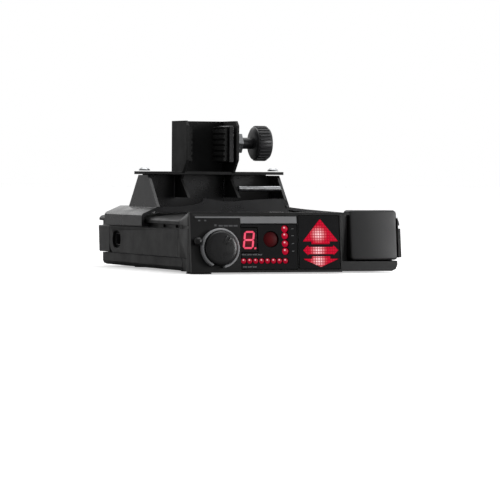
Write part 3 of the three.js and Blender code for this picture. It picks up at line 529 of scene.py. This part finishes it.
# The photocell's red glow is painted light.
rounded("photocell", "case", red_lens_painted_glow, 0.0)
print("case pieces rounded:", len(CASE_PIECES) + 6)

# %% [markdown]
# ## The rear antenna cover
# Its front is not flat: it swells gently towards the driver, most at CREST of the way from its middle
# to its right edge, which draws a soft shade across it. It fills the gap to the frame's wall. Rings
# of the same rounded square, from the back wall round the edge and in to the middle, make that skin,
# and each ring steps forward along a curve.

# %% Crowned antenna cover
cover_low, cover_high = (Vector(c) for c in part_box("rear_radome"))
cover_high.x += 0.25 * MM
CORNER, EDGE_ROLL, CROWN, RING_STEPS = 1.5 * MM, 0.8 * MM, 0.7 * MM, 10
CREST = 0.3
face_points = [v.co for v in frame["nodes"]["rear_radome"].data.vertices]
foot_y = min(p.y for p in face_points)
brow_y = min(p.y for p in face_points if p.z > cover_high.z - 1.6 * MM)
cover_lean = (brow_y - foot_y) / (cover_high.z - cover_low.z)
print("cover leans", round(cover_lean, 3), "and swells", CROWN / MM, "mm")


def rounded_square(inset):
    """Corners of the cover's outline, drawn in by inset and rounded, as (x, z)."""
    radius = max(CORNER - inset * 0.5, 0.15 * MM)
    x0, x1 = cover_low.x + inset, cover_high.x - inset
    z0, z1 = cover_low.z + inset, cover_high.z - inset
    points = []
    for cx, cz, start in ((x1 - radius, z0 + radius, -90), (x1 - radius, z1 - radius, 0),
                          (x0 + radius, z1 - radius, 90), (x0 + radius, z0 + radius, 180)):
        for step in range(9):
            angle = math.radians(start + step * 11.25)
            points.append((cx + radius * math.cos(angle), cz + radius * math.sin(angle)))
    sides = []
    for k, (x, z) in enumerate(points):
        next_x, next_z = points[(k + 1) % len(points)]
        parts = 12 if k % 9 == 8 else 1
        sides += [(x + (next_x - x) * t / parts, z + (next_z - z) * t / parts) for t in range(parts)]
    return sides


def cover_mesh():
    half = (cover_high.x - cover_low.x) / 2
    middle = (cover_low.x + cover_high.x) / 2
    rings = [(0, cover_high.y, False), (0, foot_y + EDGE_ROLL + CROWN, True)]
    for step in range(1, 7):
        angle = math.radians(step * 15)
        rings.append((EDGE_ROLL * (1 - math.cos(angle)),
                      foot_y + CROWN + EDGE_ROLL * (1 - math.sin(angle)), True))
    rings += [(EDGE_ROLL + (half - EDGE_ROLL - 0.4 * MM) * k / RING_STEPS, None, True)
              for k in range(1, RING_STEPS + 1)]
    work = bmesh.new()
    loops = []
    for inset, depth, leans in rings:
        loop = []
        for x, z in rounded_square(inset):
            across = (x - middle) / half - CREST
            y = foot_y + CROWN * across ** 2 if depth is None else depth
            y -= 0 if depth is None or not leans else CROWN * (1 - across ** 2)
            y += cover_lean * (z - cover_low.z) if leans else 0
            loop.append(work.verts.new((x, y, z)))
        loops.append(loop)
    for outer, inner in zip(loops, loops[1:]):
        for k in range(len(outer)):
            n = (k + 1) % len(outer)
            work.faces.new((outer[k], outer[n], inner[n], inner[k]))
    work.faces.new(loops[0])
    work.faces.new(list(reversed(loops[-1])))
    bmesh.ops.remove_doubles(work, verts=work.verts, dist=0.002 * MM)
    bmesh.ops.recalc_face_normals(work, faces=work.faces)
    mesh = bpy.data.meshes.new("rear_radome_finished")
    work.to_mesh(mesh)
    work.free()
    mesh.shade_smooth()
    mesh.set_sharp_from_angle(angle=math.radians(40))
    return mesh


cover_piece = new_piece("rear_radome_finished", cover_mesh(), "case", cover_abs)
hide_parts("rear_radome")

# %% Bracket, clamp and turning pieces
BRACKET_PIECES = [
    ("bracket_cradle", "bracket", "bracket_coat", powder, 0.3),
    # The bridge wears the darker black as painted shade for the shadowed neck.
    ("bracket_bridge", "bracket", "bracket_coat", bridge_painted_shade_black, 0.3),
    ("cross_rod", "bracket", "steel", zinc, 0.15), ("clip_liner_left", "bracket", "rubber", rubber, 0.2),
    ("clip_liner_right", "bracket", "rubber", rubber, 0.2),
    ("channel_pad", "bracket", "rubber", rubber, 0.15), ("screw_nut", "bracket", "steel", zinc, 0.25),
    ("bridge_screw_1", "bracket", "steel", zinc, 0.15), ("bridge_screw_2", "bracket", "steel", zinc, 0.15),
    ("clamp_jaw", "jaw", "bracket_coat", powder, 0.3), ("jaw_pad", "jaw", "rubber", rubber, 0.15),
    ("knob_shaft", "knob", "steel", zinc, 0.2), ("push_plunger", "plunger", "inner_plastic", nylon, 0.2),
    # The lever ring's pale colour is painted highlight.
    ("lever_ring", "lever", "knob", ring_painted_highlight_abs, 0.12),
]
for node, body, slot_name, material, width in BRACKET_PIECES:
    rounded(node, body, material, width)
print("bracket and moving pieces rounded:", len(BRACKET_PIECES))

# %% The lever's finger ball keeps the knob's black; the ring keeps its pale painted highlight
lever = bpy.data.objects["lever_ring_finished"]
lever.data.materials.append(knob_abs)
knob_centre = sum((Vector(c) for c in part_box("control_knob")), Vector()) / 2
ring_reach = 7.9 * MM
for polygon in lever.data.polygons:
    away = TO_FACE @ polygon.center - TO_FACE @ knob_centre
    if math.hypot(away.x, away.z) > ring_reach:
        polygon.material_index = 1

# %% [markdown]
# ## Geometry Nodes for what repeats
# Lamp domes, diffuser squares, contacts, printed marks and grip ribs are one small shape repeated by a
# rule. A node tree holds the rule, and its named inputs hold the sizes. Instances are cheap while the
# tree runs and become real mesh at its end.

# %% Helpers for node trees
SOCKETS = {float: "NodeSocketFloat", int: "NodeSocketInt", Vector: "NodeSocketVector",
           bpy.types.Material: "NodeSocketMaterial"}


def start_tree(name, inputs):
    """A geometry tree with a geometry input and output and these named inputs."""
    tree = bpy.data.node_groups.new(name, "GeometryNodeTree")
    tree.interface.new_socket("Geometry", in_out="INPUT", socket_type="NodeSocketGeometry")
    for label, kind in inputs.items():
        tree.interface.new_socket(label, in_out="INPUT", socket_type=SOCKETS[kind])
    tree.interface.new_socket("Geometry", in_out="OUTPUT", socket_type="NodeSocketGeometry")
    return tree, tree.nodes.new("NodeGroupInput").outputs


def end_tree(tree, geometry, material):
    real = add_node(tree, "GeometryNodeRealizeInstances", inputs={"Geometry": geometry})
    finished = add_node(tree, "GeometryNodeSetMaterial",
                        inputs={"Geometry": real.outputs[0], "Material": material})
    add_node(tree, "NodeGroupOutput", inputs={"Geometry": finished.outputs[0]})


def run_tree(name, tree, values, base=None, place=None):
    """Runs a tree on a base mesh and returns the result as a plain mesh, moved by place."""
    base = base or bpy.data.meshes.new(name + "_base")
    holder = bpy.data.objects.new(name + "_holder", base)
    bpy.context.scene.collection.objects.link(holder)
    modifier = holder.modifiers.new(name, "NODES")
    modifier.node_group = tree
    for item in tree.interface.items_tree:
        if item.in_out == "INPUT" and item.name in values:
            modifier[item.identifier] = values[item.name]
    holder.update_tag()
    graph = bpy.context.evaluated_depsgraph_get()
    mesh = bpy.data.meshes.new_from_object(holder.evaluated_get(graph), depsgraph=graph)
    mesh.name = name
    bpy.data.objects.remove(holder)
    if place:
        mesh.transform(place)
    print(name, "has", len(mesh.polygons), "faces")
    return mesh


# %% [markdown]
# ## Lamp domes
# Each warning lamp is the moulded end of a light-emitting diode: a short post with a domed end. A dome
# is half of a sphere, squashed a little. The tree sets one on every point of a line, after storing
# each dome's own coordinates for the lit finish.

# %% Lamp domes
def dome_tree():
    tree, given = start_tree("lamp_domes", {
        "Count": int, "Start": Vector, "Step": Vector, "Radius": float, "Depth": float,
        "Material": bpy.types.Material})
    line = add_node(tree, "GeometryNodeMeshLine", inputs={
        "Count": given["Count"], "Start Location": given["Start"], "Offset": given["Step"]})
    ball = add_node(tree, "GeometryNodeMeshUVSphere", inputs={
        "Segments": 24, "Rings": 14, "Radius": 1.0})
    here = add_node(tree, "GeometryNodeInputPosition")
    marked = add_node(tree, "GeometryNodeStoreNamedAttribute", {"data_type": "FLOAT_VECTOR"}, {
        "Geometry": ball.outputs["Mesh"], "Name": "dome_place", "Value": here.outputs[0]})
    size = add_node(tree, "ShaderNodeCombineXYZ", inputs={
        "X": given["Radius"], "Y": given["Depth"], "Z": given["Radius"]})
    domes = add_node(tree, "GeometryNodeInstanceOnPoints", inputs={
        "Points": line.outputs["Mesh"], "Instance": marked.outputs["Geometry"],
        "Scale": size.outputs[0]})
    end_tree(tree, domes.outputs[0], given["Material"])
    return tree


BAND_DOME, ROW_DOME = 0.75 * MM, 0.6 * MM
lamp_tree = dome_tree()
band_boxes = [face_box(f"band_light_{n}") for n in range(1, 5)]
band_radius = (band_boxes[0][1].x - band_boxes[0][0].x) / 2


def lamp_front(low, high):
    """Where a band dome's middle goes: on the lamp's axis, a dome's depth behind its front."""
    return Vector(((low.x + high.x) / 2, low.y + BAND_DOME, (low.z + high.z) / 2))


def lamp_row(name, nodes, start, step, count, radius, depth, material):
    mesh = run_tree(name, lamp_tree, {
        "Count": count, "Start": start, "Step": step, "Radius": radius,
        "Depth": depth, "Material": material}, place=FACE)
    mesh.shade_smooth()
    piece = new_piece(name, mesh, "case", material)
    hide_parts(*nodes)
    return piece


for number, (low, high) in enumerate(band_boxes, 1):
    lamp_row(f"band_lamp_{number}", [f"band_light_{number}"], lamp_front(low, high),
             Vector((0, 0, 0)), 1, band_radius, BAND_DOME, dome_finish)

row_low, row_high = face_box("strength_lights")
LAMP_COUNT, LAMP_RADIUS, ROW_END = 8, 1.05, 1.3
row_z = (row_low.z + row_high.z) / 2
first_x = row_low.x + ROW_END * MM
pitch = (row_high.x - row_low.x - 2 * ROW_END * MM) / (LAMP_COUNT - 1)
lamp_row("strength_lamps", ["strength_lights"], Vector((first_x, row_low.y + ROW_DOME, row_z)),
         Vector((pitch, 0, 0)), LAMP_COUNT, LAMP_RADIUS * MM, ROW_DOME, small_dome_finish)

# %% [markdown]
# ## Arrows with a diffuser grid
# The back of each arrow lens is moulded into small squares that spread the lamp's light, and they
# show through as a grid. The tree shoots a ray from each grid point at the lens. A point whose four
# corners all hit gets a low pyramid, so no square hangs over the arrow's edge.

# %% Diffuser grid
def diffuser_tree():
    tree, given = start_tree("diffuser_grid", {
        "Cell": float, "Height": float, "Middle": Vector, "Material": bpy.types.Material})
    cells = 24
    span = add_node(tree, "ShaderNodeMath", {"operation": "MULTIPLY"},
                    {0: given["Cell"], 1: float(cells)})
    sheet = add_node(tree, "GeometryNodeMeshGrid", inputs={
        "Size X": span.outputs[0], "Size Y": span.outputs[0],
        "Vertices X": cells + 1, "Vertices Y": cells + 1})
    stood = add_node(tree, "GeometryNodeTransform", inputs={
        "Geometry": sheet.outputs["Mesh"], "Translation": given["Middle"],
        "Rotation": (math.pi / 2, 0, 0)})
    here = add_node(tree, "GeometryNodeInputPosition").outputs[0]
    hits = None
    for dx, dz in ((-1, -1), (-1, 1), (1, -1), (1, 1)):
        move = add_node(tree, "ShaderNodeVectorMath", {"operation": "SCALE"},
                        {0: (dx * 0.5, 0, dz * 0.5), "Scale": given["Cell"]})
        start = add_node(tree, "ShaderNodeVectorMath", {"operation": "ADD"},
                         {0: here, 1: move.outputs[0]})
        ray = add_node(tree, "GeometryNodeRaycast", inputs={
            "Target Geometry": given["Geometry"], "Source Position": start.outputs[0],
            "Ray Direction": (0, 1, 0), "Ray Length": 0.02})
        hits = ray.outputs["Is Hit"] if hits is None else add_node(
            tree, "FunctionNodeBooleanMath", {"operation": "AND"},
            {0: hits, 1: ray.outputs["Is Hit"]}).outputs[0]
    straight = add_node(tree, "GeometryNodeRaycast", inputs={
        "Target Geometry": given["Geometry"], "Source Position": here,
        "Ray Direction": (0, 1, 0), "Ray Length": 0.02})
    landed = add_node(tree, "GeometryNodeSetPosition", inputs={
        "Geometry": stood.outputs[0], "Selection": hits,
        "Position": straight.outputs["Hit Position"]})
    pyramid = add_node(tree, "GeometryNodeMeshCone", inputs={
        "Vertices": 4, "Radius Top": 0.35 * 0.7071, "Radius Bottom": 0.94 * 0.7071, "Depth": 1.0})
    aimed = add_node(tree, "GeometryNodeTransform", inputs={
        "Geometry": pyramid.outputs["Mesh"], "Rotation": (0, 0, math.pi / 4)})
    tipped = add_node(tree, "GeometryNodeTransform", inputs={
        "Geometry": aimed.outputs[0], "Rotation": (math.pi / 2, 0, 0)})
    size = add_node(tree, "ShaderNodeCombineXYZ", inputs={
        "X": given["Cell"], "Y": given["Height"], "Z": given["Cell"]})
    squares = add_node(tree, "GeometryNodeInstanceOnPoints", inputs={
        "Points": landed.outputs[0], "Selection": hits, "Instance": tipped.outputs[0],
        "Scale": size.outputs[0]})
    both = add_node(tree, "GeometryNodeJoinGeometry")
    tree.links.new(squares.outputs[0], both.inputs[0])
    tree.links.new(given["Geometry"], both.inputs[0])
    end_tree(tree, both.outputs[0], given["Material"])
    return tree


grid_tree = diffuser_tree()
for node, material in arrow_finish.items():
    base = merged_mesh(node, node + "_flat")
    base.transform(TO_FACE)
    low, high = face_box(node)
    middle = (low + high) / 2
    middle.y = low.y - 3 * MM
    mesh = run_tree(node + "_lit", grid_tree, {
        "Cell": ARROW_CELL * MM, "Height": 0.1 * MM, "Middle": middle, "Material": material},
        base=base, place=FACE)
    mesh.set_sharp_from_angle(angle=math.radians(20))
    piece = new_piece(node + "_lit", mesh, "case", material)
    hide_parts(node)

# %% [markdown]
# ## The lit digit
# A seven-segment digit is seven bars with pointed ends, slanted a little. Each bar is one six-sided
# outline, pulled out into a thin slab. All seven are lit, with the point beside them.

# %% Seven-segment digit
digit_low, digit_high = face_box("digit_display")
digit_middle = (digit_low + digit_high) / 2
DIGIT_WIDTH, DIGIT_HEIGHT, BAR, SLANT = 3.7, 6.3, 0.72, 0.13


def bar_outline(x0, z0, x1, z1, half):
    """The six corners of a bar with pointed ends from one point to the other."""
    along = Vector((x1 - x0, 0, z1 - z0)).normalized()
    across = Vector((-along.z, 0, along.x)) * half
    a, b = Vector((x0, 0, z0)), Vector((x1, 0, z1))
    inner_a, inner_b = a + along * half, b - along * half
    return [a, inner_a - across, inner_b - across, b, inner_b + across, inner_a + across]


def digit_mesh():
    w, h, gap = DIGIT_WIDTH / 2, DIGIT_HEIGHT / 2, 0.12
    bars = [(-w, z, w, z) for z in (-h, 0, h)]
    bars += [(x, z, x, z + h) for x in (-w, w) for z in (-h, 0)]
    work = bmesh.new()
    outlines = []
    for x0, z0, x1, z1 in bars:
        dx = gap if x1 > x0 else 0
        dz = gap if z1 > z0 else 0
        outlines.append(bar_outline(x0 + dx, z0 + dz, x1 - dx, z1 - dz, BAR / 2))
    steps = 16
    outlines.append([Vector((w + 1.15 + 0.42 * math.cos(i * math.tau / steps), 0,
                             -h - 0.1 + 0.42 * math.sin(i * math.tau / steps))) for i in range(steps)])
    for outline in outlines:
        front = [work.verts.new((p.x + SLANT * p.z, 0, p.z)) for p in outline]
        work.faces.new(front)
    made = bmesh.ops.extrude_face_region(work, geom=work.faces[:])
    moved = [v for v in made["geom"] if isinstance(v, bmesh.types.BMVert)]
    bmesh.ops.translate(work, verts=moved, vec=(0, -0.25, 0))
    bmesh.ops.recalc_face_normals(work, faces=work.faces)
    mesh = bpy.data.meshes.new("digit_segments")
    work.to_mesh(mesh)
    work.free()
    centre = Vector((digit_middle.x, digit_low.y + 0.02 * MM, digit_middle.z))
    mesh.transform(FACE @ Matrix.Translation(centre) @ Matrix.Scale(MM, 4))
    return mesh


new_piece("digit_segments", digit_mesh(), "case", segment_finish)
print("digit is", DIGIT_WIDTH, "x", DIGIT_HEIGHT, "mm")

# %% [markdown]
# ## The knob
# The knob is a turned shape: one profile spun about the axis. Its face is slightly domed, a wide soft
# edge rolls over to the side and catches the light, and two short ribs point up and to the right.
# Spinning needs closed poles, so the profile starts and ends on the axis and the doubles are merged.

# %% Knob
knob_low, knob_high = face_box("control_knob")
knob_middle = (knob_low + knob_high) / 2
knob_radius = (knob_high.x - knob_low.x) / 2
ROLL_EDGE = 1.3 * MM
KNOB_FACE = Matrix.Translation(Vector((knob_middle.x, 0, knob_middle.z)))


def spun(name, profile, steps=96):
    """A mesh spun about the y axis from (radius, y) pairs in metres."""
    work = bmesh.new()
    ring = [work.verts.new((r, y, 0)) for r, y in profile]
    edges = [work.edges.new(pair) for pair in zip(ring, ring[1:])]
    bmesh.ops.spin(work, geom=ring + edges, cent=(0, 0, 0), axis=(0, 1, 0),
                   angle=math.tau, steps=steps, use_merge=True)
    bmesh.ops.remove_doubles(work, verts=work.verts, dist=0.001 * MM)
    bmesh.ops.recalc_face_normals(work, faces=work.faces)
    mesh = bpy.data.meshes.new(name)
    work.to_mesh(mesh)
    work.free()
    return mesh


def add_block(work, size, turn_matrix):
    made = bmesh.ops.create_cube(work, size=1.0)
    bmesh.ops.scale(work, vec=size, verts=made["verts"])
    bmesh.ops.transform(work, matrix=turn_matrix, verts=made["verts"])
    edges = {e for v in made["verts"] for e in v.link_edges}
    bmesh.ops.bevel(work, geom=list(edges), offset=min(size) * 0.3, segments=2, affect="EDGES",
                    profile=0.5)


def knob_mesh():
    front, back, r = knob_low.y, knob_high.y, knob_radius
    dome = [(r * k / 10, front + 0.35 * MM * (k / 10) ** 2) for k in range(9)]
    roll = [(r - ROLL_EDGE * (1 - math.sin(a)), front + 0.28 * MM + ROLL_EDGE * 0.8 * (1 - math.cos(a)))
            for a in (math.radians(d) for d in range(15, 91, 15))]
    profile = dome + roll + [(r, back - 0.2 * MM), (r - 0.2 * MM, back), (0, back)]
    mesh = spun("knob_finished", profile)
    work = bmesh.new()
    work.from_mesh(mesh)
    lean = math.radians(-57)
    for side in (-1, 1):
        place = Matrix.Rotation(lean, 4, "Y") @ Matrix.Translation(
            (3.5 * MM, front + 0.25 * MM, side * 0.75 * MM))
        add_block(work, (3.2 * MM, 0.6 * MM, 0.45 * MM), place)
    work.to_mesh(mesh)
    work.free()
    mesh.shade_smooth()
    mesh.set_sharp_from_angle(angle=math.radians(40))
    mesh.transform(FACE @ KNOB_FACE)
    return mesh


knob_piece = new_piece("knob_finished", knob_mesh(), "knob", knob_abs)
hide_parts("control_knob")

# %% [markdown]
# ## The thumb screw
# Its grip is a cup with ribs round it. One round rib, lying along the screw's axis, is set on each
# point of a circle, and the core is spun like the knob.

# %% Thumb screw
screw_low, screw_high = (Vector(c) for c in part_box("thumb_screw"))
screw_middle = (screw_low + screw_high) / 2
GRIP_LENGTH, GRIP_FROM, GRIP_RADIUS, RIBS = 7.0, 11.0, 6.9, 28


def rib_tree():
    tree, given = start_tree("grip_ribs", {
        "Count": int, "Radius": float, "Middle": float, "Rib Size": Vector,
        "Material": bpy.types.Material})
    ring = add_node(tree, "GeometryNodeMeshCircle", inputs={
        "Vertices": given["Count"], "Radius": given["Radius"]})
    moved = add_node(tree, "GeometryNodeTransform", inputs={
        "Geometry": ring.outputs["Mesh"], "Rotation": (math.pi / 2, 0, 0)})
    shift = add_node(tree, "ShaderNodeCombineXYZ", inputs={"Y": given["Middle"]})
    placed = add_node(tree, "GeometryNodeTransform", inputs={
        "Geometry": moved.outputs[0], "Translation": shift.outputs[0]})
    rib = add_node(tree, "GeometryNodeMeshCylinder", inputs={
        "Vertices": 10, "Radius": 0.5, "Depth": 1.0})
    laid = add_node(tree, "GeometryNodeTransform", inputs={
        "Geometry": rib.outputs["Mesh"], "Rotation": (math.pi / 2, 0, 0)})
    ribs = add_node(tree, "GeometryNodeInstanceOnPoints", inputs={
        "Points": placed.outputs[0], "Instance": laid.outputs[0], "Scale": given["Rib Size"]})
    both = add_node(tree, "GeometryNodeJoinGeometry")
    tree.links.new(ribs.outputs[0], both.inputs[0])
    tree.links.new(given["Geometry"], both.inputs[0])
    end_tree(tree, both.outputs[0], given["Material"])
    return tree


def thumb_screw_mesh():
    r = GRIP_RADIUS
    profile = [(0, 0.3), (1.9, 0.3), (2.35, 0.8), (2.35, GRIP_FROM), (r - 1.2, GRIP_FROM),
               (r - 0.2, GRIP_FROM + 0.6), (r, GRIP_FROM + 1.2), (r, GRIP_FROM + GRIP_LENGTH - 0.9),
               (r - 0.6, GRIP_FROM + GRIP_LENGTH - 0.1), (r - 1.4, GRIP_FROM + GRIP_LENGTH),
               (r - 2.2, GRIP_FROM + GRIP_LENGTH - 0.8), (0, GRIP_FROM + GRIP_LENGTH - 1.0)]
    core = spun("thumb_screw_core", [(a * MM, b * MM) for a, b in profile], 64)
    stand_up = Matrix.Translation((screw_low.x - 0.3 * MM, screw_middle.y, screw_middle.z))
    lay = Matrix.Rotation(math.radians(-90), 4, "Z")
    mesh = run_tree("thumb_screw_finished", rib_tree(), {
        "Count": RIBS, "Radius": r * MM, "Middle": (GRIP_FROM + GRIP_LENGTH / 2) * MM,
        "Rib Size": Vector((0.8, GRIP_LENGTH - 2.4, 0.8)) * MM, "Material": nylon},
        base=core, place=stand_up @ lay)
    mesh.shade_smooth()
    mesh.set_sharp_from_angle(angle=math.radians(40))
    return mesh


screw_piece = new_piece("thumb_screw_finished", thumb_screw_mesh(), "screw", nylon)
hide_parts("thumb_screw")

# %% [markdown]
# ## Printed marks and socket contacts
# The real face has small printed words. They are left out, and rows of plain pale dashes stand where
# they were, so the face keeps its rhythm. The power socket on the left side has six spring contacts.
# Both are one small bar repeated along a line.

# %% Bars along a line
def bar_tree():
    tree, given = start_tree("bars_along_a_line", {
        "Count": int, "Start": Vector, "Step": Vector, "Bar Size": Vector,
        "Material": bpy.types.Material})
    line = add_node(tree, "GeometryNodeMeshLine", inputs={
        "Count": given["Count"], "Start Location": given["Start"], "Offset": given["Step"]})
    brick = add_node(tree, "GeometryNodeMeshCube", inputs={"Size": given["Bar Size"]})
    bars = add_node(tree, "GeometryNodeInstanceOnPoints", inputs={
        "Points": line.outputs["Mesh"], "Instance": brick.outputs["Mesh"]})
    end_tree(tree, bars.outputs[0], given["Material"])
    return tree


def bars(name, count, start, step, size, material, slot_name, place=None):
    mesh = run_tree(name, bars_tree, {
        "Count": count, "Start": Vector(start) * MM, "Step": Vector(step) * MM,
        "Bar Size": Vector(size) * MM, "Material": material}, place=place)
    return new_piece(name, mesh, "case", material)


bars_tree = bar_tree()
# Screen ink lies on the surface as a film, drawn here 0.03 mm thick so that it shows.
ink = grained("pale_screen_ink", "5C5D5F", 0.6, 0.2, 0.002)
FACE_SKIN, PANE_SKIN = -0.02, 0.03
DASHES = [
    ("ink_arrow_over_knob", 1, (10.4, FACE_SKIN, 18.5), (0, 0, 0), (0.9, 0.03, 0.8)),
    ("ink_over_knob", 4, (12.6, FACE_SKIN, 18.3), (2.05, 0, 0), (1.7, 0.03, 0.6)),
    ("ink_corner", 2, (3.7, FACE_SKIN, 20.35), (2.5, 0, 0), (0.9, 0.03, 0.6)),
    ("ink_under_digit", 4, (22.0, PANE_SKIN, 7.0), (2.2, 0, 0), (1.9, 0.03, 0.55)),
    ("ink_under_row", 3, (22.2, PANE_SKIN, 2.2), (2.0, 0, 0), (1.7, 0.03, 0.55)),
]
for name, count, start, step, size in DASHES:
    bars(name, count, start, step, size, ink, "trim", place=FACE)
for number, (low, high) in enumerate(band_boxes, 1):
    mid = (low + high) / 2 / MM
    bars(f"ink_beside_band_{number}", 1, (mid.x + 3.1, PANE_SKIN, mid.z), (0, 0, 0),
         (1.1, 0.03, 0.34), ink, "trim", place=FACE)

jack_low, jack_high = (Vector(c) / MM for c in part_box("power_jack"))
CONTACTS, CONTACT_PITCH = 6, 1.02
jack_y = (jack_low.y + jack_high.y) / 2
bars("socket_contacts", CONTACTS,
     (jack_low.x + 6.4, jack_y - CONTACT_PITCH * (CONTACTS - 1) / 2, jack_low.z + 4.9),
     (0, CONTACT_PITCH, 0), (7.0, 0.45, 0.3), brass, "steel")
